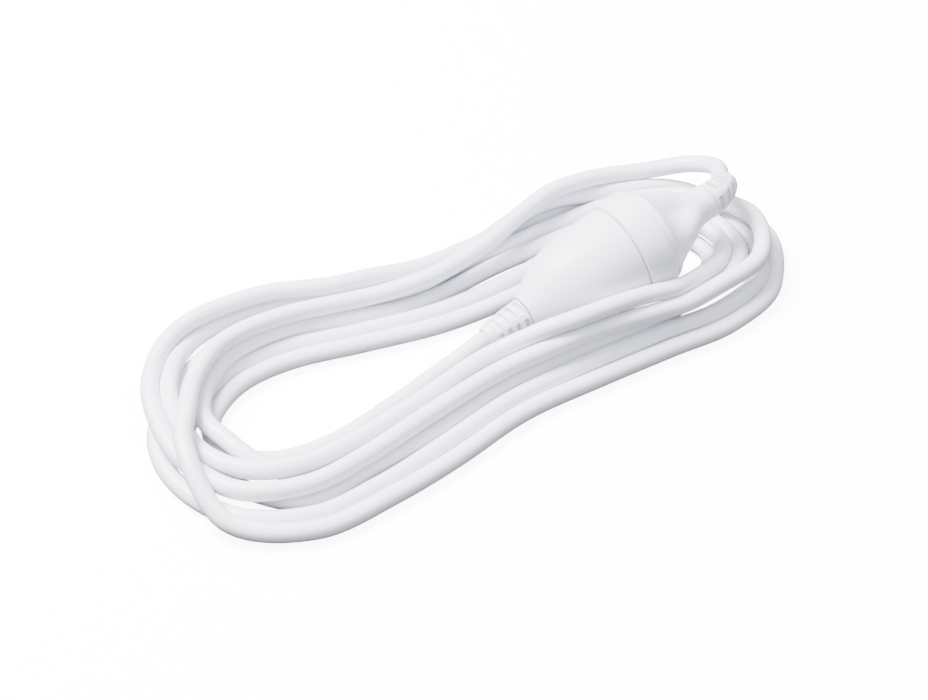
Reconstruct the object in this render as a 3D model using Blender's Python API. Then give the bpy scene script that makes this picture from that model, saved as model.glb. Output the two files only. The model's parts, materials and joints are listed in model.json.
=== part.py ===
"""Household extension lead: a moulded plug pushed home in its own moulded socket, with the cord wound in a
loose flat hank round the pair.

Lengths are in millimetres and MM turns them into metres. The connector is modelled along its own axis:
local x = 0 is the groove between the socket's moulding and its collar, and +x runs towards the plug. The
axis leans up by TILT, because the plug's end rests on the cord. World z = 0 is the surface that it lies on.
"""

import math

import bmesh
import bpy
from mathutils import Vector

MM = 0.001
GAP = 0.3

# The lie of the connector
TILT = math.radians(12.7)
AXIS_HEIGHT = 24.3
GROOVE_X = 2.6
# The routes and the hank's stations are laid out from their own zero, and all of it moves this far in x to
# bring the middle of the connector pair to x = 0.
LAYOUT_X = -0.93

# Cord and cores
CORD_RADIUS = 3.7
CORE_RADIUS = 1.25
CORE_LAY_RADIUS = 1.5

# Flat pins and their pattern, seen along the axis
BLADE_WIDTH = 6.35
BLADE_THICKNESS = 1.63
LIVE_PIN_LENGTH = 17.06
EARTH_PIN_LENGTH = 19.94
LIVE_PIN_RADIUS = 7.92
EARTH_PIN_RADIUS = 10.31
LIVE_PIN_LEAN = math.radians(30)

# Socket
SOCKET_END = -48.0
BELL_FRONT = -0.4
COLLAR_BACK = 0.1
COLLAR_FRONT = 12.0
COLLAR_RADIUS = 23.1
SHROUD_BORE = 20.6
FACE_FRONT = 4.0
CARRIER_RADIUS = 16.0
CARRIER_BACK = -20.7
CARRIER_FRONT = -0.2
CONTACT_BACK = -18.6
CRIMP_LENGTH = 5.4
SOCKET_SHEATH_END = -40.0

# Plug
PLUG_FACE = 4.3
PLUG_BASE_RADIUS = 20.1
PLUG_END = 44.6
PIN_CARRIER_RADIUS = 14.2
PIN_CARRIER_BACK = 13.8
PIN_TAIL = 14.5
PLUG_CRIMP_END = 18.3
PLUG_SHEATH_END = 36.0
RIDGE_ANGLE = math.radians(53)

# Strain reliefs
RELIEF_BORE = CORD_RADIUS + GAP
RELIEF_SPIGOT = 5.6
SPIGOT_LENGTH = 3.9
RELIEF_LENGTH = 19.2
RELIEF_WIDE = 7.3
RELIEF_NARROW = 5.9
NOZZLE_RADIUS = 5.2
SLOT_FLOOR = 4.7
SLOT_WIDTH = 1.8
SLOT_PITCH = 3.9
FIRST_SLOT = 2.2
SLOT_COUNT = 4
RIB_ANGLE = math.radians(43)
RIB_WIDTH = math.radians(16)

ROUND_SEGMENTS = 36


def clear_scene():
    for obj in list(bpy.data.objects):
        bpy.data.objects.remove(obj, do_unlink=True)


def material(name, colour, roughness, metallic=0.0):
    made = bpy.data.materials.new(name)
    made.use_nodes = True
    shader = made.node_tree.nodes["Principled BSDF"]
    shader.inputs["Base Color"].default_value = (*colour, 1.0)
    shader.inputs["Roughness"].default_value = roughness
    shader.inputs["Metallic"].default_value = metallic
    return made


def empty(name, location, tilt=0.0, parent=None):
    made = bpy.data.objects.new(name, None)
    made.empty_display_size = 0.02
    made.location = location
    made.rotation_euler = (0.0, -tilt, 0.0)
    made.parent = parent
    bpy.context.scene.collection.objects.link(made)
    return made


def mesh_object(name, points, faces, look=None, parent=None, crease=35.0):
    """A closed mesh, its faces all turned outwards."""
    mesh = bpy.data.meshes.new(name)
    mesh.from_pydata([Vector(p) * MM for p in points], [], faces)
    shell = bmesh.new()
    shell.from_mesh(mesh)
    bmesh.ops.triangulate(shell, faces=[face for face in shell.faces if len(face.verts) > 4])
    if shell.calc_volume(signed=True) < 0:
        bmesh.ops.reverse_faces(shell, faces=shell.faces[:])
    shell.to_mesh(mesh)
    shell.free()
    if look:
        mesh.materials.append(look)
    mesh.shade_smooth()
    mesh.set_sharp_from_angle(angle=math.radians(crease))
    made = bpy.data.objects.new(name, mesh)
    made.parent = parent
    bpy.context.scene.collection.objects.link(made)
    return made


def loft(name, rings, look=None, parent=None, closed=False):
    """A skin over rings of equal count. Closed joins the last ring to the first; open ends are capped."""
    count = len(rings[0])
    points = [point for ring in rings for point in ring]
    faces = []
    for i in range(len(rings) if closed else len(rings) - 1):
        a = i * count
        b = (i + 1) % len(rings) * count
        for j in range(count):
            k = (j + 1) % count
            faces.append((a + j, a + k, b + k, b + j))
    if not closed:
        faces.append(tuple(reversed(range(count))))
        faces.append(tuple(range(len(points) - count, len(points))))
    return mesh_object(name, points, faces, look, parent)


def round_ring(x, radius, segments=ROUND_SEGMENTS):
    """A ring about the x axis. radius is a number or a function of the angle."""
    ring = []
    for j in range(segments):
        angle = math.tau * j / segments
        r = radius(angle) if callable(radius) else radius
        ring.append((x, r * math.cos(angle), r * math.sin(angle)))
    return ring


def turned(name, profile, look, parent):
    """A solid turned about the x axis. Its profile starts at the back, runs along the outside and returns inside."""
    return loft(name, [round_ring(x, r) for x, r in profile], look, parent, closed=True)


def turned_solid(name, profile, look, parent):
    return loft(name, [round_ring(x, r) for x, r in profile], look, parent)


def cut(target, tool, operation="DIFFERENCE"):
    tool.hide_render = True
    tool.display_type = "WIRE"
    modifier = target.modifiers.new(tool.name, "BOOLEAN")
    modifier.operation = operation
    modifier.object = tool
    modifier.solver = "EXACT"


def pin_place(which):
    """Centre (y, z) of a pin, and the directions of its width and of its thickness."""
    if which == "earth":
        return (0.0, -EARTH_PIN_RADIUS), (0.0, 1.0), (1.0, 0.0)
    side = -1.0 if which == "active" else 1.0
    centre = (side * 6.86, math.sqrt(LIVE_PIN_RADIUS**2 - 6.86**2))
    width = (-side * math.sin(LIVE_PIN_LEAN), math.cos(LIVE_PIN_LEAN))
    return centre, width, (width[1], -width[0])


def blade_ring(which, x, half_width, half_thickness, corner=0.2):
    """A rectangle with cut corners, square to the axis, in the place of one pin."""
    (y, z), (wy, wz), (ty, tz) = pin_place(which)
    w, t, c = half_width, half_thickness, corner
    outline = [(w, t - c), (w - c, t), (c - w, t), (-w, t - c), (-w, c - t), (c - w, -t), (w - c, -t), (w, c - t)]
    return [(x, y + a * wy + b * ty, z + a * wz + b * tz) for a, b in outline]


def blade(name, which, stations, look=None, parent=None):
    """A bar of rectangular sections in the place of one pin. Stations: (x, half width, half thickness)."""
    return loft(name, [blade_ring(which, *station) for station in stations], look, parent)


def smooth_route(route, spacing):
    """Points read at even spacing along a Catmull-Rom curve through the route."""
    route = [Vector(p) for p in route]
    padded = [2 * route[0] - route[1], *route, 2 * route[-1] - route[-2]]
    fine = []
    for a, b, c, d in zip(padded, padded[1:], padded[2:], padded[3:]):
        for step in range(24):
            t = step / 24
            fine.append(
                0.5 * (2 * b + (c - a) * t + (2 * a - 5 * b + 4 * c - d) * t**2 + (3 * b - a - 3 * c + d) * t**3)
            )
    fine.append(route[-1])
    length = sum((q - p).length for p, q in zip(fine, fine[1:]))
    count = max(2, round(length / spacing))
    points, walked, wanted = [fine[0]], 0.0, length / count
    for p, q in zip(fine, fine[1:]):
        step = (q - p).length
        while walked + step >= wanted - 1e-9 and len(points) < count:
            points.append(p.lerp(q, (wanted - walked) / step))
            wanted += length / count
        walked += step
    points.append(fine[-1])
    return points


def tube(name, points, radius, look, parent=None, rounding=3):
    """A round cord along the points, with filled ends."""
    curve = bpy.data.curves.new(name, "CURVE")
    curve.dimensions = "3D"
    curve.bevel_depth = radius * MM
    curve.bevel_resolution = rounding
    curve.use_fill_caps = True
    spline = curve.splines.new("POLY")
    spline.points.add(len(points) - 1)
    for point, place in zip(spline.points, points):
        point.co = (*(Vector(place) * MM), 1.0)
    curve.materials.append(look)
    made = bpy.data.objects.new(name, curve)
    made.parent = parent
    bpy.context.scene.collection.objects.link(made)
    return made


def on_axis(x):
    """The layout's place, in millimetres, of a point on the connector's axis."""
    return Vector((GROOVE_X + x * math.cos(TILT), 0.0, AXIS_HEIGHT + x * math.sin(TILT)))


def to_local(point):
    """A place in the layout, in the connector's own frame."""
    rise = point[2] - AXIS_HEIGHT
    run = point[0] - GROOVE_X
    return Vector(
        (run * math.cos(TILT) + rise * math.sin(TILT), point[1], rise * math.cos(TILT) - run * math.sin(TILT))
    )


# Strain reliefs


def relief_angles():
    """Angles round a relief, closer at the edges of its four rows of slots, and whether each lies in a slot."""
    found = []
    for row in range(4):
        rib = RIB_ANGLE + row * math.pi / 2
        found.append((rib - RIB_WIDTH / 2, False))
        found.append((rib + RIB_WIDTH / 2, False))
        start = rib + RIB_WIDTH / 2 + 0.02
        end = rib + math.pi / 2 - RIB_WIDTH / 2 - 0.02
        for k in range(5):
            found.append((start + (end - start) * k / 4, True))
    return found


def relief_outline():
    """(distance from the wide end, outer radius, in a slot) along a relief, spigot first."""
    taper = (RELIEF_WIDE - RELIEF_NARROW) / (RELIEF_LENGTH - 3.5)
    rows = [(-SPIGOT_LENGTH, RELIEF_SPIGOT, False), (0.25, RELIEF_SPIGOT, False), (0.25, RELIEF_WIDE, False)]
    for slot in range(SLOT_COUNT):
        middle = FIRST_SLOT + slot * SLOT_PITCH
        for place, inside in ((-0.55, False), (-0.45, True), (0.45, True), (0.55, False)):
            along = middle + place * SLOT_WIDTH
            rows.append((along, RELIEF_WIDE - taper * along, inside))
    rows.append((RELIEF_LENGTH - 3.6, RELIEF_NARROW, False))
    rows.append((RELIEF_LENGTH - 3.1, NOZZLE_RADIUS, False))
    rows.append((RELIEF_LENGTH - 0.9, NOZZLE_RADIUS - 0.1, False))
    rows.append((RELIEF_LENGTH, NOZZLE_RADIUS - 0.8, False))
    return rows


def strain_relief(name, frame_at, look, parent):
    """A slotted sleeve. frame_at(distance) gives the centre and two cross directions there."""
    rings = []
    angles = relief_angles()
    for along, outer, slotted_row in relief_outline():
        centre, side, rise = frame_at(along)
        ring = []
        for angle, in_slot in angles:
            r = SLOT_FLOOR if slotted_row and in_slot else outer
            ring.append(centre + side * r * math.cos(angle) + rise * r * math.sin(angle))
        rings.append(ring)
    bore_stations = 7
    for k in range(bore_stations):
        along = RELIEF_LENGTH - (RELIEF_LENGTH + SPIGOT_LENGTH) * k / (bore_stations - 1)
        centre, side, rise = frame_at(along)
        rings.append([centre + RELIEF_BORE * (side * math.cos(a) + rise * math.sin(a)) for a, _ in angles])
    return loft(name, rings, look, parent, closed=True)


def socket_relief_frame(along):
    return Vector((SOCKET_END - along, 0, 0)), Vector((0, -1, 0)), Vector((0, 0, 1))


# The plug's relief is drawn over by the cord: its centre line is a quadratic curve in the connector's frame.
RELIEF_BEND = [
    Vector((PLUG_END + 0.2, 0, 0)),
    Vector((PLUG_END + 9.2, 0, 0)),
    Vector((PLUG_END + 14.1, 8.6, -5.3)),
]


def plug_relief_centre(along):
    a, b, c = RELIEF_BEND
    t = min(max(along / RELIEF_LENGTH, 0.0), 1.0)
    return a * (1 - t) ** 2 + b * 2 * t * (1 - t) + c * t**2


def plug_relief_frame(along):
    if along < 0.3:
        return Vector((PLUG_END + along, 0, 0)), Vector((0, 1, 0)), Vector((0, 0, 1))
    centre = plug_relief_centre(along)
    ahead = (plug_relief_centre(along + 0.05) - plug_relief_centre(along - 0.05)).normalized()
    side = Vector((0, 0, 1)).cross(ahead).normalized()
    return centre, side, ahead.cross(side)


# Socket


def build_socket(axis, white, hard, brass, core_colours):
    bell = [
        (SOCKET_END, 8.0),
        (-46.6, 8.7),
        (-43.6, 10.6),
        (-40.0, 12.8),
        (-36.9, 14.6),
        (-33.5, 16.3),
        (-30.8, 17.5),
        (-27.0, 18.8),
        (-23.6, 19.6),
        (-16.0, 20.5),
        (-8.0, 21.0),
        (BELL_FRONT - 0.4, 21.4),
        (BELL_FRONT, 21.1),
        (BELL_FRONT, CARRIER_RADIUS + GAP),
        (CARRIER_BACK - GAP, CARRIER_RADIUS + GAP),
        (CARRIER_BACK - GAP, 13.6),
        (-34.0, 10.2),
        (-43.5, 5.0),
        (SOCKET_END + SPIGOT_LENGTH + GAP, 5.0),
        (SOCKET_END + SPIGOT_LENGTH + GAP, RELIEF_SPIGOT + GAP),
        (SOCKET_END, RELIEF_SPIGOT + GAP),
    ]
    turned("socket_body", bell, white, axis)

    collar = [
        (COLLAR_BACK, 0.001),
        (COLLAR_BACK, 21.9),
        (COLLAR_BACK + 0.4, 22.3),
        (COLLAR_FRONT - 0.5, COLLAR_RADIUS),
        (COLLAR_FRONT, COLLAR_RADIUS - 0.4),
        (COLLAR_FRONT, SHROUD_BORE + 0.3),
        (COLLAR_FRONT - 0.4, SHROUD_BORE),
        (FACE_FRONT, SHROUD_BORE),
        (FACE_FRONT, 0.001),
    ]
    front = turned_solid("socket_front", collar, white, axis)
    carrier = turned_solid(
        "contact_carrier",
        [(CARRIER_BACK, CARRIER_RADIUS), (CARRIER_FRONT, CARRIER_RADIUS)],
        hard,
        axis,
    )
    half_width = BLADE_WIDTH / 2 + GAP
    half_thickness = BLADE_THICKNESS / 2 + GAP
    leaf = 0.8
    for which in ("active", "neutral", "earth"):
        hole = blade(f"cut_face_{which}", which, [(-1, half_width, half_thickness), (6, half_width, half_thickness)])
        hole.parent = axis
        cut(front, hole)
        pocket_width = 3.8 + GAP
        pocket_thickness = half_thickness + leaf + GAP
        pocket = blade(
            f"cut_pocket_{which}", which, [(-22, pocket_width, pocket_thickness), (1, pocket_width, pocket_thickness)]
        )
        pocket.parent = axis
        cut(carrier, pocket)
        contact = blade(
            f"contact_{which}",
            which,
            [
                (CONTACT_BACK - CRIMP_LENGTH, 1.5, 1.5, 0.5),
                (CONTACT_BACK, 1.5, 1.5, 0.5),
                (CONTACT_BACK, 3.8, half_thickness + leaf),
                (-1.5, 3.8, half_thickness + leaf),
            ],
            brass,
            axis,
        )
        mouth = blade(
            f"cut_contact_{which}", which, [(CONTACT_BACK + 1.2, 5, half_thickness), (0, 5, half_thickness)]
        )
        mouth.parent = axis
        cut(contact, mouth)
        start = CONTACT_BACK - CRIMP_LENGTH - 2 * GAP
        build_core(f"socket_core_{which}", which, start, SOCKET_SHEATH_END + 2 * GAP, core_colours[which], axis)
    strain_relief("socket_strain_relief", socket_relief_frame, white, axis)


def build_core(name, which, start, end, look, parent):
    """One insulated core, from its crimp to the end of the cord's sheath, where the three lie together."""
    (y, z), _, _ = pin_place(which)
    radius = math.hypot(y, z)
    direction = Vector((0, y / radius, z / radius))
    run = end - start
    route = []
    for part, share in ((0.0, 1.0), (0.18, 0.87), (0.42, 0.46), (0.68, 0.14), (0.86, 0.02), (1.0, 0.0)):
        r = CORE_LAY_RADIUS + (radius - CORE_LAY_RADIUS) * share
        route.append(Vector((start + run * part, 0, 0)) + direction * r)
    tube(name, smooth_route(route, 3.4), CORE_RADIUS, look, parent, rounding=2)


# Plug


def plug_section(radius, swing):
    """Radius round the plug's grip: three soft ridges with a finger hollow between each pair."""
    return lambda angle: radius + swing * math.cos(3 * (angle - RIDGE_ANGLE))


def build_plug(travel, white, hard, brass, sleeve_look, core_colours):
    outside = [
        (PLUG_FACE + 0.1, PLUG_BASE_RADIUS - 0.4, 0.0),
        (PLUG_FACE + 0.6, PLUG_BASE_RADIUS, 0.0),
        (15.2, PLUG_BASE_RADIUS, 0.0),
        (16.4, 19.5, 0.1),
        (18.0, 18.0, 0.6),
        (20.0, 16.4, 1.3),
        (22.4, 14.7, 2.0),
        (25.2, 12.9, 2.6),
        (28.2, 11.3, 2.7),
        (31.2, 9.9, 2.0),
        (34.2, 8.8, 0.9),
        (37.2, 7.9, 0.2),
        (40.6, 7.3, 0.0),
        (43.6, 7.4, 0.0),
        (PLUG_END, 7.1, 0.0),
    ]
    inside = [
        (PLUG_END, RELIEF_SPIGOT + GAP),
        (PLUG_END - SPIGOT_LENGTH - GAP, RELIEF_SPIGOT + GAP),
        (PLUG_END - SPIGOT_LENGTH - GAP, 5.0),
        (31.0, 5.8),
        (26.6, 7.4),
        (23.4, 9.7),
        (21.0, 11.7),
        (19.0, 13.0),
        (PIN_CARRIER_BACK + GAP, PIN_CARRIER_RADIUS + GAP),
        (PLUG_FACE + 0.1, PIN_CARRIER_RADIUS + GAP),
    ]
    rings = [round_ring(x, plug_section(r, swing)) for x, r, swing in outside]
    rings += [round_ring(x, r) for x, r in inside]
    loft("plug_body", rings, white, travel, closed=True)

    carrier = turned_solid(
        "pin_carrier",
        [(PLUG_FACE, PIN_CARRIER_RADIUS - 0.3), (PLUG_FACE + 0.3, PIN_CARRIER_RADIUS), (PIN_CARRIER_BACK, PIN_CARRIER_RADIUS)],
        hard,
        travel,
    )
    half_width = BLADE_WIDTH / 2
    half_thickness = BLADE_THICKNESS / 2
    sleeve_tip = PLUG_FACE - 9.5
    sleeve_root = 10.0
    film = 0.3
    slack = 0.15
    for which in ("active", "neutral", "earth"):
        hole = blade(
            f"cut_pin_{which}",
            which,
            [(PLUG_FACE - 2, half_width + GAP, half_thickness + GAP), (16, half_width + GAP, half_thickness + GAP)],
        )
        hole.parent = travel
        cut(carrier, hole)
        length = EARTH_PIN_LENGTH if which == "earth" else LIVE_PIN_LENGTH
        tip = PLUG_FACE - length
        stations = [(tip, half_width - 0.8, half_thickness - 0.35), (tip + 1.0, half_width, half_thickness)]
        if which != "earth":
            neck = (half_width - film - slack, half_thickness - film - slack)
            stations += [
                (sleeve_tip - slack, half_width, half_thickness),
                (sleeve_tip - slack, *neck),
                (sleeve_root + slack, *neck),
                (sleeve_root + slack, half_width, half_thickness),
            ]
        stations += [
            (PIN_TAIL, half_width, half_thickness),
            (PIN_TAIL + 1.0, 1.5, 1.5, 0.5),
            (PLUG_CRIMP_END, 1.5, 1.5, 0.5),
        ]
        blade(f"pin_{which}", which, stations, brass, travel)
        if which != "earth":
            sleeve = blade(
                f"pin_sleeve_{which}",
                which,
                [(sleeve_tip, half_width, half_thickness), (sleeve_root, half_width, half_thickness)],
                sleeve_look,
                travel,
            )
            bore = blade(
                f"cut_sleeve_{which}",
                which,
                [
                    (sleeve_tip - 2, half_width - film, half_thickness - film),
                    (sleeve_root + 2, half_width - film, half_thickness - film),
                ],
            )
            bore.parent = travel
            cut(sleeve, bore)
        start = PLUG_CRIMP_END + 2 * GAP
        build_core(f"plug_core_{which}", which, start, PLUG_SHEATH_END - 2 * GAP, core_colours[which], travel)
    strain_relief("plug_strain_relief", plug_relief_frame, white, travel)


# Cord. Routes are in the layout's millimetres.

# From the socket's nozzle to the hank, along the surface.
SOCKET_LEAD = [(-73.5, -0.2, 6.5), (-79.0, -0.6, 4.8), (-83.8, -1.0, 4.1)]
# From the plug's nozzle, round over the hank and down onto its back strands.
PLUG_TAIL = [
    (67.0, 15.8, 29.8),
    (70.3, 23.6, 26.8),
    (70.1, 31.9, 23.0),
    (66.1, 39.7, 19.5),
    (58.0, 46.5, 16.0),
    (46.7, 53.0, 13.2),
    (34.6, 58.3, 11.4),
    (21.1, 61.8, 10.6),
    (13.6, 62.5, 10.5),
]


def build_leads(layout, travel, white):
    inside = [on_axis(x) for x in (SOCKET_SHEATH_END, -46, -52, -58, -63, -67.6)]
    route = [*inside, *(Vector(p) for p in SOCKET_LEAD)]
    tube("cord_socket_lead", smooth_route(route, 6.0), CORD_RADIUS, white, layout)

    back_to_layout = []
    straight = [Vector((x, 0, 0)) for x in (PLUG_SHEATH_END, 39, 42)]
    bent = [plug_relief_centre(RELIEF_LENGTH * t) for t in (0.0, 0.25, 0.5, 0.75, 1.0)]
    for point in straight + bent:
        back_to_layout.append(
            on_axis(point.x) + Vector((-point.z * math.sin(TILT), point.y, point.z * math.cos(TILT)))
        )
    route = [*back_to_layout, *(Vector(p) for p in PLUG_TAIL)]
    points = smooth_route(route, 5.0)
    tube("cord_plug_tail", [to_local(p) for p in points], CORD_RADIUS, white, travel)


# Stations round the hank: (inner x, y), (outer x, y), inner height, outer height.
# It starts where the plug's tail joins, runs left behind the hank and returns in front of it.
HANK = [
    ((11, 27), (12, 73.5), 7.6, 15.5),
    ((-18, 22.5), (-14, 68.5), 7.6, 14.5),
    ((-45, 15.5), (-40, 60.5), 9, 14.5),
    ((-68, 15), (-66, 62.5), 11, 15),
    ((-91, 20), (-93, 71), 12, 15),
    ((-117, 28), (-116, 77.5), 14, 15),
    ((-143, 33), (-150, 81), 15, 15),
    ((-161, 28), (-174, 70), 15, 15),
    ((-170, 21), (-190, 52), 15, 15),
    ((-174, 14), (-199, 31), 15, 15),
    ((-175, 7), (-204, 9), 15, 15),
    ((-172, -1), (-202, -12), 15, 15),
    ((-166, -6), (-195, -33), 15, 15),
    ((-152, -10), (-176, -50.5), 13, 13),
    ((-128, -9), (-138, -52.5), 12, 11),
    ((-104, -2.5), (-106, -49.5), 12, 11),
    ((-85, 3.2), (-88, -47.5), 13, 10),
    ((-84.5, -5.2), (-86, -47.3), 13, 10),
    ((-60, -9), (-58, -44.5), 15, 9),
    ((-43, -13.5), (-38, -42.5), 18, 8),
    ((-28, -20.5), (-25, -43.5), 22, 8),
    ((-12, -22.6), (-12, -44.5), 22, 8),
    ((8, -24.4), (9, -44.5), 22, 9),
    ((22, -22.4), (30, -43), 20, 10),
    ((34, -18), (48, -38.5), 19, 12),
    ((44.5, -12.5), (62, -31.5), 19, 14),
    ((51.5, -5), (74, -19.5), 20, 15),
    ((56.5, 4.5), (83, -2), 20, 15),
    ((57.5, 14.5), (84.5, 13.5), 18, 15),
    ((54, 23.5), (76, 29), 13, 13),
    ((45, 30), (60, 43), 9, 9),
    ((32, 30), (43, 50.5), 7.6, 7),
    ((20, 28), (27, 59.5), 7.6, 6.3),
    ((11.3, 27), (12.3, 65.5), 7.6, 6.3),
]
SHOULDER = 0.45


def hank_section(inner, outer, inner_height, outer_height):
    """A flat-bottomed section with its two upper edges cut back, as a pile of round cord has."""
    a = Vector((*inner, 0))
    b = Vector((*outer, 0))
    across = (b - a).normalized()
    rise = Vector((0, 0, 1))
    a_cut = inner_height * SHOULDER
    b_cut = outer_height * SHOULDER
    return [
        a,
        b,
        b + rise * (outer_height - b_cut),
        b - across * b_cut + rise * outer_height,
        a + across * a_cut + rise * inner_height,
        a + rise * (inner_height - a_cut),
    ]


def build_hank(layout, white):
    loft("cord_hank", [hank_section(*station) for station in HANK], white, layout, closed=True)


def main():
    clear_scene()
    white = material("white_pvc", (0.80, 0.80, 0.84), 0.42)
    hard = material("inner_moulding", (0.72, 0.72, 0.74), 0.5)
    brass = material("brass", (0.75, 0.58, 0.27), 0.3, 1.0)
    sleeve_look = material("pin_sleeve", (0.02, 0.02, 0.022), 0.5)
    core_colours = {
        "active": material("core_brown", (0.16, 0.06, 0.03), 0.45),
        "neutral": material("core_blue", (0.04, 0.16, 0.5), 0.45),
        "earth": material("core_green_yellow", (0.25, 0.55, 0.08), 0.45),
    }
    layout = empty("layout", (LAYOUT_X * MM, 0, 0))
    axis = empty("connector_axis", Vector((GROOVE_X, 0, AXIS_HEIGHT)) * MM, TILT, layout)
    travel = empty("plug_travel", (0, 0, 0), parent=axis)
    build_socket(axis, white, hard, brass, core_colours)
    build_plug(travel, white, hard, brass, sleeve_look, core_colours)
    build_leads(layout, travel, white)
    build_hank(layout, white)


main()
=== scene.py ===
"""The look of the extension cord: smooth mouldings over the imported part, and the cord drawn turn by turn.

Lengths are in millimetres in the layout that part.py uses too, and MM and LAYOUT_X turn them into the row
frame. The connector's pieces are drawn about its own axis: x = 0 is the groove behind the socket's collar
and +x runs towards the plug.
"""

import json
import math

import bmesh
import bpy
import numpy as np
from mathutils import Matrix, Vector

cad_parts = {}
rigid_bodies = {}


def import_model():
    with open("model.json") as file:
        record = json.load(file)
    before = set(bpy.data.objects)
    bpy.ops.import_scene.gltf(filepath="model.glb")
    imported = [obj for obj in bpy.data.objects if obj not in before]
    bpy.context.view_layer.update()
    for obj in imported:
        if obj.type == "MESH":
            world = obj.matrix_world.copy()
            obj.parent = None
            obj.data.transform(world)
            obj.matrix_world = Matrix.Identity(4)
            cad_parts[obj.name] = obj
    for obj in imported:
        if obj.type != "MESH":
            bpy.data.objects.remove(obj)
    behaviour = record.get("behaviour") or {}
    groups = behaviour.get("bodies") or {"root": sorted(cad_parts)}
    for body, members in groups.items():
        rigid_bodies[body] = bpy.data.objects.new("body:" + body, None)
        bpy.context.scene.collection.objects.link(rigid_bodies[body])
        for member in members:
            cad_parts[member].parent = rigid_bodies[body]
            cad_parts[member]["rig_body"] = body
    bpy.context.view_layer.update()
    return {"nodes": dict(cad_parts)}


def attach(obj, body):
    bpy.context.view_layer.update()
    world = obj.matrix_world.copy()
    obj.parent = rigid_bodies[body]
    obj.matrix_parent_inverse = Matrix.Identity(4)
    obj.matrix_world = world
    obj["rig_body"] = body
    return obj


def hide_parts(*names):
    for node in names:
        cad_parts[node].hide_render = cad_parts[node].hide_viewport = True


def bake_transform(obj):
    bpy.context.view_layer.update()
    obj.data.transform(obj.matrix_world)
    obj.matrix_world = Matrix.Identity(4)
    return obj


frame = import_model()

MM = 0.001
LAYOUT_X = -0.93
TILT = math.radians(12.7)
GROOVE_X = 2.6
AXIS_HEIGHT = 24.3
CORD_RADIUS = 3.7
CORD = 2 * CORD_RADIUS
GAP = 0.3

# The connector's own frame in the row frame, with millimetres taken to metres
CONNECTOR = (
    Matrix.Translation(Vector((GROOVE_X + LAYOUT_X, 0, AXIS_HEIGHT)) * MM)
    @ Matrix.Rotation(-TILT, 4, "Y")
    @ Matrix.Scale(MM, 4)
)
LAYOUT = Matrix.Translation((LAYOUT_X * MM, 0, 0)) @ Matrix.Scale(MM, 4)


# Materials


def plastic(name, colour, roughness, grain=0.00002, mottle=0.015):
    """Moulded or extruded plastic: a fine grain in the surface, and its tone and gloss a little uneven."""
    made = bpy.data.materials.new(name)
    made.use_nodes = True
    nodes, links = made.node_tree.nodes, made.node_tree.links
    shader = nodes["Principled BSDF"]
    shader.inputs["Metallic"].default_value = 0.0
    shader.inputs["IOR"].default_value = 1.5
    shader.inputs["Subsurface Weight"].default_value = 0.0
    place = nodes.new("ShaderNodeTexCoord")
    tone = nodes.new("ShaderNodeTexNoise")
    tone.inputs["Scale"].default_value = 35
    tone.inputs["Detail"].default_value = 3
    links.new(place.outputs["Object"], tone.inputs["Vector"])
    colours = nodes.new("ShaderNodeValToRGB")
    colours.color_ramp.elements[0].position = 0.3
    colours.color_ramp.elements[1].position = 0.7
    colours.color_ramp.elements[0].color = (*(c * (1 - mottle) for c in colour), 1)
    colours.color_ramp.elements[1].color = (*colour, 1)
    links.new(tone.outputs["Fac"], colours.inputs["Fac"])
    links.new(colours.outputs["Color"], shader.inputs["Base Color"])
    gloss = nodes.new("ShaderNodeMapRange")
    gloss.inputs["To Min"].default_value = roughness - 0.05
    gloss.inputs["To Max"].default_value = roughness + 0.05
    links.new(tone.outputs["Fac"], gloss.inputs["Value"])
    links.new(gloss.outputs["Result"], shader.inputs["Roughness"])
    fine = nodes.new("ShaderNodeTexNoise")
    fine.inputs["Scale"].default_value = 900
    fine.inputs["Detail"].default_value = 2
    links.new(place.outputs["Object"], fine.inputs["Vector"])
    bump = nodes.new("ShaderNodeBump")
    bump.inputs["Distance"].default_value = grain
    bump.inputs["Strength"].default_value = 0.5
    links.new(fine.outputs["Fac"], bump.inputs["Height"])
    links.new(bump.outputs["Normal"], shader.inputs["Normal"])
    return made


def brass_metal():
    """Bright brass, its polish a little uneven."""
    made = bpy.data.materials.new("brass")
    made.use_nodes = True
    nodes, links = made.node_tree.nodes, made.node_tree.links
    shader = nodes["Principled BSDF"]
    shader.inputs["Metallic"].default_value = 1.0
    shader.inputs["Base Color"].default_value = (0.75, 0.58, 0.27, 1)
    place = nodes.new("ShaderNodeTexCoord")
    wear = nodes.new("ShaderNodeTexNoise")
    wear.inputs["Scale"].default_value = 250
    links.new(place.outputs["Object"], wear.inputs["Vector"])
    gloss = nodes.new("ShaderNodeMapRange")
    gloss.inputs["To Min"].default_value = 0.2
    gloss.inputs["To Max"].default_value = 0.36
    links.new(wear.outputs["Fac"], gloss.inputs["Value"])
    links.new(gloss.outputs["Result"], shader.inputs["Roughness"])
    return made


WHITE = plastic("white_pvc", (0.74, 0.74, 0.81), 0.42)
SHEATH = plastic("cord_sheath", (0.74, 0.74, 0.81), 0.38)
HARD = plastic("inner_moulding", (0.72, 0.72, 0.74), 0.5)
SLEEVE = plastic("pin_sleeve", (0.02, 0.02, 0.022), 0.5)
BRASS = brass_metal()
CORES = {
    "active": plastic("core_brown", (0.16, 0.06, 0.03), 0.45),
    "neutral": plastic("core_blue", (0.04, 0.16, 0.5), 0.45),
    "earth": plastic("core_green_yellow", (0.25, 0.55, 0.08), 0.45),
}


# Meshes


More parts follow.
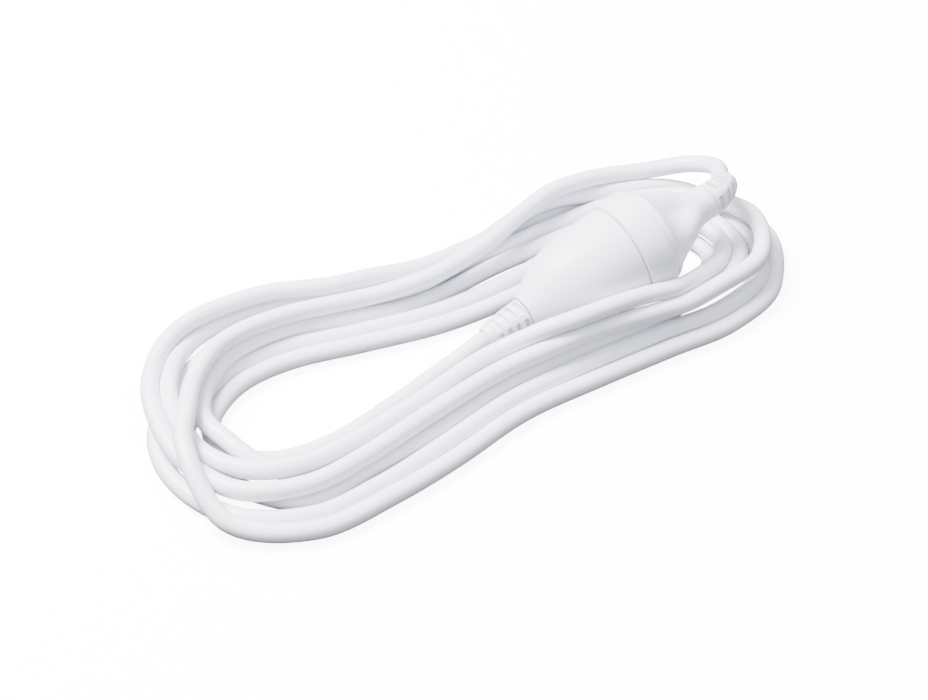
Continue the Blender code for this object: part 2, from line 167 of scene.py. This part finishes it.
def mesh_piece(name, points, faces, matrix, look, crease=40.0):
    """A closed piece, its faces outward and smooth, with edges over the crease angle left sharp."""
    mesh = bpy.data.meshes.new(name)
    mesh.from_pydata([matrix @ Vector(p) for p in points], [], faces)
    shell = bmesh.new()
    shell.from_mesh(mesh)
    if shell.calc_volume(signed=True) < 0:
        bmesh.ops.reverse_faces(shell, faces=shell.faces[:])
    shell.to_mesh(mesh)
    shell.free()
    mesh.materials.append(look)
    mesh.shade_smooth()
    mesh.set_sharp_from_angle(angle=math.radians(crease))
    made = bpy.data.objects.new(name, mesh)
    bpy.context.scene.collection.objects.link(made)
    return made


def loft(name, rings, matrix, look, closed=False, crease=40.0):
    """A skin over rings of equal count. Closed joins the last ring to the first; open ends are capped."""
    count = len(rings[0])
    points = [point for ring in rings for point in ring]
    faces = []
    for i in range(len(rings) if closed else len(rings) - 1):
        a = i * count
        b = (i + 1) % len(rings) * count
        for j in range(count):
            k = (j + 1) % count
            faces.append((a + j, a + k, b + k, b + j))
    if not closed:
        faces.append(tuple(reversed(range(count))))
        faces.append(tuple(range(len(points) - count, len(points))))
    return mesh_piece(name, points, faces, matrix, look, crease)


def through(points, steps):
    """Points along a Catmull-Rom curve through the given ones, steps of them to each span."""
    p = np.array(points, float)
    p = np.vstack([2 * p[0] - p[1], p, 2 * p[-1] - p[-2]])
    t = np.linspace(0, 1, steps, endpoint=False)[:, None]
    spans = [
        0.5 * (2 * b + (c - a) * t + (2 * a - 5 * b + 4 * c - d) * t**2 + (3 * b - a - 3 * c + d) * t**3)
        for a, b, c, d in zip(p, p[1:], p[2:], p[3:])
    ]
    return np.vstack([*spans, p[-2:-1]])


def spaced(points, spacing):
    """The same line read at even spacing."""
    run = np.concatenate([[0], np.cumsum(np.linalg.norm(np.diff(points, axis=0), axis=1))])
    at = np.linspace(0, run[-1], max(3, round(run[-1] / spacing) + 1))
    return np.stack([np.interp(at, run, points[:, i]) for i in range(3)], axis=1)


def round_ring(x, radius, segments=120):
    """A ring about the connector's axis at x. The radius is a number, or a function of the angle."""
    ring = []
    for j in range(segments):
        angle = math.tau * j / segments
        r = radius(angle) if callable(radius) else radius
        ring.append((x, r * math.cos(angle), r * math.sin(angle)))
    return ring


def tube(name, line, radius, look, sides=20):
    """A round cord along a line in layout millimetres, with closed ends."""
    ahead = np.gradient(line, axis=0)
    ahead /= np.linalg.norm(ahead, axis=1)[:, None]
    side = np.cross(ahead[0], (0, 0, 1))
    rings = []
    for place, forward in zip(line, ahead):
        side = side - forward * side.dot(forward)
        side /= np.linalg.norm(side)
        rise = np.cross(side, forward)
        turn = np.linspace(0, math.tau, sides, endpoint=False)[:, None]
        rings.append(place + radius * (np.cos(turn) * side + np.sin(turn) * rise))
    return loft(name, rings, LAYOUT, look)


# Connector

SOCKET_END = -48.0
BELL_FRONT = -0.4
PLUG_END = 44.6
RIDGE_ANGLE = math.radians(53)
SPIGOT_RADIUS = 5.6
SPIGOT_LENGTH = 3.9
RELIEF_BORE = CORD_RADIUS + GAP
PIN_WIDTH = 6.35
PIN_THICKNESS = 1.63
# Each slot in the socket's face: its centre (y, z), and its lean from upright
SLOTS = {
    "active": (-6.86, 3.96, -math.radians(30)),
    "neutral": (6.86, 3.96, math.radians(30)),
    "earth": (0.0, -10.31, 0.0),
}

# The outside of the socket's bell: (x, radius)
BELL = [
    (SOCKET_END, 8.3),
    (-46.6, 8.9),
    (-43.6, 10.6),
    (-40.0, 12.8),
    (-36.9, 14.6),
    (-33.5, 16.3),
    (-30.8, 17.5),
    (-27.0, 18.8),
    (-23.6, 19.6),
    (-16.0, 20.5),
    (-8.0, 21.0),
    (-1.4, 21.45),
]
# The plug's grip: (x, radius, height of its three soft ridges)
PLUG = [
    (15.2, 20.1, 0.0),
    (16.4, 19.5, 0.1),
    (18.0, 18.0, 0.6),
    (20.0, 16.4, 1.3),
    (22.4, 14.7, 2.0),
    (25.2, 12.9, 2.6),
    (28.2, 11.3, 2.7),
    (31.2, 9.9, 2.0),
    (34.2, 8.8, 0.9),
    (37.2, 7.9, 0.2),
    (40.6, 7.3, 0.0),
    (43.9, 7.4, 0.0),
]


def socket_body():
    """The socket's bell, with the hollow that holds its contacts and the relief's spigot."""
    outside = [tuple(p) for p in through(BELL, 5)]
    outside += [(-0.8, 21.4), (-0.5, 21.25), (BELL_FRONT, 21.0)]
    inside = [(BELL_FRONT, 16.3), (-21, 16.3), (-21, 13.6), (-34, 10.2), (-43.5, 5.0), (-43.8, 5.0)]
    inside += [(-43.8, SPIGOT_RADIUS + GAP), (SOCKET_END + 0.1, SPIGOT_RADIUS + GAP)]
    inside += [(SOCKET_END, SPIGOT_RADIUS + GAP + 0.1), (SOCKET_END, 8.0)]
    rings = [round_ring(x, r) for x, r in outside + inside]
    return loft("socket_overmould", rings, CONNECTOR, WHITE, closed=True, crease=50)


def slot_ring(which, x, corner=0.2):
    """The outline of one pin's slot at x, square to the axis."""
    y, z, lean = SLOTS[which]
    w, t = PIN_WIDTH / 2 + GAP, PIN_THICKNESS / 2 + GAP
    half = [(w, t - corner), (w - corner, t), (corner - w, t), (-w, t - corner)]
    ring = []
    for a, b in half + [(-a, -b) for a, b in half]:
        across = y - a * math.sin(lean) + b * math.cos(lean)
        up = z + a * math.cos(lean) + b * math.sin(lean)
        ring.append((x, across, up))
    return ring


def socket_front():
    """The socket's face with its three slots, and the wide collar round it."""
    profile = [(0.1, 0.01), (0.1, 21.7), (0.25, 22.0), (0.6, 22.25), (1.1, 22.35)]
    profile += [(11.3, 23.05), (11.7, 23.0), (11.9, 22.85), (12.0, 22.6), (12.0, 21.0), (11.9, 20.75)]
    profile += [(11.6, 20.6), (4.4, 20.6), (4.1, 20.5), (4.0, 20.2), (4.0, 0.01)]
    rings = [round_ring(x, r) for x, r in profile]
    front = loft("socket_collar", rings, CONNECTOR, WHITE, crease=50)
    for which in ("active", "neutral", "earth"):
        cutter = loft("cut_" + which, [slot_ring(which, -1), slot_ring(which, 6)], CONNECTOR, WHITE)
        cut = front.modifiers.new(which, "BOOLEAN")
        cut.object = cutter
        cut.solver = "EXACT"
        bpy.context.view_layer.objects.active = front
        front.select_set(True)
        bpy.ops.object.modifier_apply(modifier=cut.name)
        bpy.data.objects.remove(cutter)
    return front


def plug_section(radius, swing):
    """Radius round the plug's grip: three soft ridges with a finger hollow between each pair."""
    return lambda angle: radius + swing * math.cos(3 * (angle - RIDGE_ANGLE))


def plug_body():
    """The plug's round base and its waisted grip, hollow inside."""
    outside = [(4.4, 19.6, 0), (4.5, 19.9, 0), (4.8, 20.1, 0)]
    outside += [tuple(p) for p in through(PLUG, 4)]
    outside += [(PLUG_END - 0.25, 7.3, 0), (PLUG_END, 7.0, 0)]
    inside = [(PLUG_END, SPIGOT_RADIUS + GAP), (40.4, SPIGOT_RADIUS + GAP), (40.4, 5.0), (31, 5.8)]
    inside += [(26.6, 7.4), (23.4, 9.7), (21, 11.7), (19, 13), (14.1, 14.5), (4.4, 14.5)]
    rings = [round_ring(x, plug_section(r, swing)) for x, r, swing in outside]
    rings += [round_ring(x, r) for x, r in inside]
    return loft("plug_overmould", rings, CONNECTOR, WHITE, closed=True, crease=50)


# Strain reliefs

RELIEF_LENGTH = 19.2
RELIEF_WIDE = 7.3
RELIEF_NARROW = 5.9
TAPER_LENGTH = 15.7
FIRST_SLOT = 2.2
SLOT_COUNT = 4
SLOT_PITCH = 3.9
SLOT_WIDTH = 1.8
SLOT_FLOOR = 4.7
RIB_ANGLE = math.radians(43)
RIB_HALF = math.radians(8)
# How far each edge of a slot runs down to its floor: (place along the slot, depth from 0 to 1)
SLOT_EDGE = [(-0.5, 0), (-0.47, 0.04), (-0.43, 0.2), (-0.4, 1)]
# The same round the relief: (angle from the rib, depth from 0 to 1)
RIB_EDGE = [(0.012, 0.06), (0.03, 0.25), (0.045, 1)]
# The plug's relief is drawn over by the cord: its centre line is a quadratic curve in the connector's frame
RELIEF_BEND = np.array([(PLUG_END + 0.2, 0, 0), (PLUG_END + 9.2, 0, 0), (PLUG_END + 14.1, 8.6, -5.3)])


def relief_radius(along):
    return RELIEF_WIDE - (RELIEF_WIDE - RELIEF_NARROW) * min(max(along, 0) / TAPER_LENGTH, 1)


def relief_rows():
    """(distance from the wide end, outer radius, how far into a slot from 0 to 1) along a relief."""
    rows = [(-SPIGOT_LENGTH, SPIGOT_RADIUS, 0), (0.25, SPIGOT_RADIUS, 0)]
    rows += [(0.25, 7.0, 0), (0.33, 7.2, 0), (0.5, 7.28, 0)]
    far_edge = [(-place, depth) for place, depth in reversed(SLOT_EDGE)]
    for k in range(SLOT_COUNT):
        middle = FIRST_SLOT + k * SLOT_PITCH
        for place, depth in SLOT_EDGE + far_edge:
            along = middle + place * SLOT_WIDTH * 1.1
            rows.append((along, relief_radius(along), depth))
    rows += [(15.45, RELIEF_NARROW, 0), (15.75, 5.75, 0), (15.9, 5.5, 0), (16.0, 5.2, 0)]
    rows += [(17.6, 5.15, 0), (18.5, 4.95, 0), (19.0, 4.6, 0), (RELIEF_LENGTH, 4.2, 0)]
    return rows


def relief_turns():
    """(angle, how far into a slot from 0 to 1) round a relief, with four ribs between the rows of slots."""
    turns = []
    for row in range(4):
        rib = RIB_ANGLE + row * math.pi / 2
        for k in range(5):
            turns.append((rib + RIB_HALF * (k / 2 - 1), 0))
        start, end = rib + RIB_HALF, rib + math.pi / 2 - RIB_HALF
        turns += [(start + lean, depth) for lean, depth in RIB_EDGE]
        low_start, low_end = start + RIB_EDGE[-1][0], end - RIB_EDGE[-1][0]
        turns += [(low_start + (low_end - low_start) * k / 10, 1) for k in range(1, 10)]
        turns += [(end - lean, depth) for lean, depth in reversed(RIB_EDGE)]
    return turns


def strain_relief(name, frame_at):
    """A slotted sleeve. frame_at(distance) gives the centre and two cross directions there."""
    rings = []
    turns = relief_turns()
    for along, outer, row_depth in relief_rows():
        centre, side, rise = frame_at(along)
        ring = []
        for angle, turn_depth in turns:
            r = outer - (outer - SLOT_FLOOR) * row_depth * turn_depth
            ring.append(centre + r * (math.cos(angle) * side + math.sin(angle) * rise))
        rings.append(ring)
    for along in np.linspace(RELIEF_LENGTH, -SPIGOT_LENGTH, 9):
        centre, side, rise = frame_at(along)
        rings.append([centre + RELIEF_BORE * (math.cos(a) * side + math.sin(a) * rise) for a, _ in turns])
    return loft(name, rings, CONNECTOR, WHITE, closed=True, crease=50)


def socket_relief_frame(along):
    return np.array((SOCKET_END - along, 0, 0)), np.array((0, -1.0, 0)), np.array((0, 0, 1.0))


def plug_relief_centre(along):
    a, b, c = RELIEF_BEND
    t = min(max(along / RELIEF_LENGTH, 0), 1)
    return a * (1 - t) ** 2 + b * 2 * t * (1 - t) + c * t**2


def plug_relief_frame(along):
    if along < 0.3:
        return np.array((PLUG_END + along, 0, 0)), np.array((0, 1.0, 0)), np.array((0, 0, 1.0))
    ahead = plug_relief_centre(along + 0.05) - plug_relief_centre(along - 0.05)
    ahead /= np.linalg.norm(ahead)
    side = np.cross((0, 0, 1.0), ahead)
    side /= np.linalg.norm(side)
    return plug_relief_centre(along), side, np.cross(ahead, side)


def to_layout(point):
    """A place in the connector's own frame, in the layout."""
    x, y, z = point
    return (
        GROOVE_X + x * math.cos(TILT) - z * math.sin(TILT),
        y,
        AXIS_HEIGHT + x * math.sin(TILT) + z * math.cos(TILT),
    )


# Cord. Its centre line is in layout millimetres.

# From the socket's strain relief to the hank
LEAD = [(-58.5, 0, 10.5), (-63.5, 0, 9.4), (-69, -0.4, 8), (-75, -1, 6.5), (-85, -2, 4.5)]
# The middle line of the hank, clockwise from above: left along the front, and back to the right behind
STATIONS = [
    (0, -30), (-35, -29), (-70, -28), (-105, -30), (-135, -33), (-160, -30), (-178, -18),
    (-187, 0), (-185, 20), (-175, 38), (-155, 50), (-128, 53), (-98, 46), (-65, 40),
    (-30, 42), (5, 48), (35, 43), (57, 25), (65, 0), (52, -20), (28, -28),
]
# The height of a strand that lies on the surface
LOW = CORD_RADIUS
# Each turn at those stations: (how far outside the middle line, height). The first turn joins part way
# and the last leaves part way. These are measures of the strands traced in the photograph, which a
# separate program took at the stations and rounded, with a few of them then moved by hand.
TURNS = [
    [
        (-23, LOW), (-20, LOW), (-18, LOW), (-14, LOW), (-10, LOW), (-8, LOW), (-11, LOW),
        (-14, LOW), (-17, LOW), (-17, LOW), (-18, LOW), (-20, LOW), (-19, LOW), (-16, LOW),
        (-13, LOW), (-15, LOW), (-15, LOW), (-10, LOW),
    ],
    [
        (-8, LOW), (-9, LOW), (-14, LOW), (-14, LOW), (-11, LOW), (-9, LOW), (-11, 5),
        (-12, 6.5), (-7, 9.5), (-7, 10), (-5, 10), (-3, 9), (-1, 6.5), (0, LOW),
        (0, LOW), (-6, LOW), (-5, 6), (-3, 10), (-6, 11), (-4, 11), (-3, 11),
    ],
    [
        (-3, 11), (-3, 9.5), (-4, 6), (-1, LOW), (0, LOW), (6, LOW), (1, LOW),
        (0, LOW), (0, LOW), (-7, LOW), (-7, LOW), (-9, LOW), (-10, LOW), (-10, LOW),
        (-11, LOW), (-12, 4), (-10, 6.5), (-10, 11.5), (-10, 14.5), (-11, 16.5), (-9, 19),
    ],
    [
        (-8, 23), (-6, 24), (-15, 13.5), (-12, 10.5), (-10, 10.5), (-7, 10.5), (-3, 10.5),
        (0, 11), (3, 11), (8, 11), (17, 6.5), (18, LOW), (14, LOW), (10, LOW),
        (8, LOW), (3, LOW), (2, 8.5), (0, 15), (5, 18), (6, 18), (2, 18),
    ],
    [
        (-1, 17.5), (-4, 17.5), (-6, 13.5), (-4, 11), (-1, 11), (4, 11), (8, 11),
        (7, 11), (9, 11), (14, 11), (19, 11), (17, 11), (13, 9), (15, 5.5),
        (16, LOW), (11, LOW), (10, 4.5), (8, 7), (2, 8), (8, 7), (6, 7),
    ],
    [
        (1, 7), (0, 7), (3, 5.5), (7, 4), (9, LOW), (13, LOW), (16, LOW),
        (13, LOW), (12, LOW), (8, LOW), (7, LOW), (3, LOW), (3, 4.5), (3, 8),
        (9, 10.4), (11, 10.4), (5, 8), (12, 5), (14, LOW), (12, LOW), (12, LOW),
    ],
    [
        (9, LOW), (9, LOW), (10, LOW), (15, LOW), (16, LOW), (20, LOW), (19, 5.5),
        (7, 17.5), (-2, 18), (-5, 15.5), (-4, 13), (-3, 11.5), (0, 11),
    ],
]
# From the last turn, over the hank's back strands and round to the plug's strain relief
TAIL = [
    (-77, 41.5, 12.5),
    (-57.5, 39.5, 15),
    (-34.5, 42.5, 17.5),
    (-13.5, 50.5, 17.5),
    (6, 56.5, 17),
    (21, 56.5, 16),
    (34.5, 55, 15),
    (46.5, 51, 15.2),
    (58, 45.5, 17),
    (66, 39.5, 19.8),
    (70, 32, 23),
    (70.3, 23.6, 26.8),
    (67, 15.8, 29.8),
]
# The tail's point where the stretch by the plug starts, drawn as a cord of its own
JOIN = 4

# What the cord keeps clear of, about the connector's axis: (x, radius). Past the collar it is the way
# that the plug slides.
KEEP_OUT = [
    (-68, 5.2), (-64, 5.9), (-48, 8), (-43.6, 10.6), (-36.9, 14.6), (-30.8, 17.5), (-23.6, 19.6),
    (-16, 20.5), (-8, 21), (0, 21.5), (0.1, 22.3), (12, 23.1), (12.1, 20.5), (45, 20.3), (49, 17.5),
    (54, 15.7), (60, 12), (66, 8.5), (75, 7.5),
]
SETTLE_SPACING = 4.0
SETTLE_ROUNDS = 140
# Points nearer than this along the cord are one strand, so they don't push each other
SAME_STRAND = 5
# In each round: how much of an overlap is taken up, of the shift kept, and of its unevenness smoothed
TAKEN_UP = 0.5
KEPT = 0.99
SMOOTHED = 0.25
# Settling leaves this many points as they are in the socket's relief, and in the plug's
HELD_AT_START = 3
HELD_AT_END = 8


def turn_route():
    """The route of the lead and the turns, each turn worked out at the stations."""
    middle = np.array(STATIONS, float)
    along = np.roll(middle, -1, axis=0) - np.roll(middle, 1, axis=0)
    along /= np.linalg.norm(along, axis=1)[:, None]
    outward = np.stack([-along[:, 1], along[:, 0]], axis=1)
    route = list(LEAD)
    for number, turn in enumerate(TURNS):
        first = len(STATIONS) - len(turn) if number == 0 else 0
        for station, (out, height) in enumerate(turn, first):
            route.append((*(middle[station] + outward[station] * out), height))
    return route


def clear_of_connector(line):
    """Moves points out of the connector's mouldings and the way that the plug slides, square to the axis."""
    run = line[:, 0] - GROOVE_X
    rise = line[:, 2] - AXIS_HEIGHT
    x = run * math.cos(TILT) + rise * math.sin(TILT)
    y = line[:, 1]
    z = rise * math.cos(TILT) - run * math.sin(TILT)
    xs, radii = zip(*KEEP_OUT)
    need = np.interp(x, xs, radii) + CORD_RADIUS + 0.1
    away = np.hypot(y, z)
    push = np.where((x > xs[0]) & (x < xs[-1]) & (away < need), need - away, 0)
    out = np.stack([-z / away * math.sin(TILT), y / away, z / away * math.cos(TILT)], axis=1)
    return line + out * push[:, None]


def settle(route):
    """The route as a cord of real thickness: where strands meet they lie on each other, not in each other."""
    home = spaced(through(route, 12), SETTLE_SPACING)
    count = len(home)
    far = np.abs(np.subtract.outer(np.arange(count), np.arange(count))) > SAME_STRAND
    moved = np.zeros_like(home)
    for _ in range(SETTLE_ROUNDS):
        line = home + moved
        gap = line[:, None] - line[None]
        distance = np.sqrt((gap**2).sum(axis=2)) + 1e-6
        close = far & (distance < CORD)
        push = np.where(close, (CORD - distance) / distance, 0)[..., None] * gap
        neighbours = np.maximum(close.sum(axis=1), 1)
        line += TAKEN_UP * push.sum(axis=1) / np.sqrt(neighbours)[:, None]
        line = clear_of_connector(line)
        line[:, 2] = np.maximum(line[:, 2], CORD_RADIUS)
        moved = KEPT * (line - home)
        moved[1:-1] += SMOOTHED * (moved[:-2] + moved[2:] - 2 * moved[1:-1])
        moved[:HELD_AT_START] = 0
        moved[-HELD_AT_END:] = 0
    line = home + moved
    line[:, 2] = np.maximum(line[:, 2], CORD_RADIUS)
    return spaced(through(line, 3), 2.0)


def row(points):
    """Layout millimetres as row-frame metres."""
    return [tuple(LAYOUT @ Vector(p)) for p in points]


body = socket_body()
collar = socket_front()
plug = plug_body()
socket_relief = strain_relief("socket_relief_sleeve", socket_relief_frame)
plug_relief = strain_relief("plug_relief_sleeve", plug_relief_frame)
for piece, node, rides in (
    (body, "socket_body", "root"),
    (collar, "socket_front", "root"),
    (socket_relief, "socket_strain_relief", "root"),
    (plug, "plug_body", "plug"),
    (plug_relief, "plug_strain_relief", "plug"),
):
    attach(piece, rides)
    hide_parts(node)

for name, node in frame["nodes"].items():
    if node.hide_render:
        continue
    kind = name.rsplit("_", 1)[-1]
    if "sleeve" in name:
        look = SLEEVE
    elif "core" in name:
        look = CORES[kind]
    elif "carrier" in name:
        look = HARD
    else:
        look = BRASS
    node.data.materials.clear()
    node.data.materials.append(look)

relief_line = [to_layout(plug_relief_centre(along)) for along in (RELIEF_LENGTH, 14.4, 9.6, 4.8, 0)]
relief_line += [to_layout((x, 0, 0)) for x in (41, 37)]
whole_line = settle([*turn_route(), *TAIL, *relief_line])
# An earlier turn passes near the same place, so only the line's last points are searched
LAST_POINTS = 150
search_from = len(whole_line) - LAST_POINTS
join = search_from + int(np.argmin(np.linalg.norm(whole_line[search_from:] - TAIL[JOIN], axis=1)))
settled = whole_line[: join + 1]
tail_line = whole_line[join:]
main_cord = tube("cord_hank_turns", settled, CORD_RADIUS, SHEATH)
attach(main_cord, "root")
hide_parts("cord_hank", "cord_socket_lead")

tail = tube("cord_plug_end", tail_line, CORD_RADIUS, SHEATH)
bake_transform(tail)
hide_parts("cord_plug_tail")


# Stage, light and camera

HANK_MIDDLE = (-0.05, 0, 0)
# The camera looks down by this much, along this heading from the row's y axis towards its x axis
CAMERA_PLACE = (-0.3734, -0.4721, 0.5120)
CAMERA_DROP = math.radians(42)
CAMERA_HEADING = math.radians(32.4)


def area_light(name, place, aim, width, height, power):
    lamp = bpy.data.lights.new(name, "AREA")
    lamp.shape = "RECTANGLE"
    lamp.size = width
    lamp.size_y = height
    lamp.energy = power
    made = bpy.data.objects.new(name, lamp)
    made.location = place
    made.rotation_euler = (Vector(aim) - Vector(place)).to_track_quat("-Z", "Y").to_euler()
    bpy.context.scene.collection.objects.link(made)


def floor():
    """It glows, so that it stays white, and its glow doesn't light the object."""
    mesh = bpy.data.meshes.new("floor")
    mesh.from_pydata([(-6, -6, 0), (6, -6, 0), (6, 6, 0), (-6, 6, 0)], [], [(0, 1, 2, 3)])
    made = bpy.data.objects.new("floor", mesh)
    bpy.context.scene.collection.objects.link(made)
    made.location.z = -0.0001
    made.visible_diffuse = False
    made.visible_glossy = False
    look = bpy.data.materials.new("floor")
    look.use_nodes = True
    shader = look.node_tree.nodes["Principled BSDF"]
    shader.inputs["Base Color"].default_value = (0.9, 0.9, 0.9, 1)
    shader.inputs["Roughness"].default_value = 1.0
    shader.inputs["Specular IOR Level"].default_value = 0.0
    shader.inputs["Emission Color"].default_value = (1, 1, 1, 1)
    shader.inputs["Emission Strength"].default_value = 9.0
    mesh.materials.append(look)


def sky(above, below):
    """Even light from above and less of it from below."""
    world = bpy.data.worlds.new("studio")
    world.use_nodes = True
    nodes, links = world.node_tree.nodes, world.node_tree.links
    place = nodes.new("ShaderNodeTexCoord")
    split = nodes.new("ShaderNodeSeparateXYZ")
    links.new(place.outputs["Generated"], split.inputs["Vector"])
    ramp = nodes.new("ShaderNodeMapRange")
    ramp.interpolation_type = "SMOOTHSTEP"
    ramp.inputs["From Min"].default_value = -0.1
    ramp.inputs["From Max"].default_value = 0.9
    ramp.inputs["To Min"].default_value = below
    ramp.inputs["To Max"].default_value = above
    links.new(split.outputs["Z"], ramp.inputs["Value"])
    links.new(ramp.outputs["Result"], nodes["Background"].inputs["Strength"])
    nodes["Background"].inputs["Color"].default_value = (0.93, 0.95, 1, 1)
    bpy.context.scene.world = world


floor()
sky(above=3.0, below=0.06)
area_light("key", place=(-0.5, 0.6, 1.2), aim=HANK_MIDDLE, width=0.6, height=0.6, power=125)
area_light("fill", place=(-0.3, -1.0, 0.9), aim=HANK_MIDDLE, width=0.9, height=0.9, power=3)

camera = bpy.data.cameras.new("camera")
camera.sensor_width = 36
camera.lens = 73.7
camera.clip_start = 0.01
view = bpy.data.objects.new("camera", camera)
view.location = CAMERA_PLACE
level = math.cos(CAMERA_DROP)
ahead = Vector(
    (level * math.sin(CAMERA_HEADING), level * math.cos(CAMERA_HEADING), -math.sin(CAMERA_DROP))
)
view.rotation_euler = ahead.to_track_quat("-Z", "Y").to_euler()
bpy.context.scene.collection.objects.link(view)
bpy.context.scene.camera = view
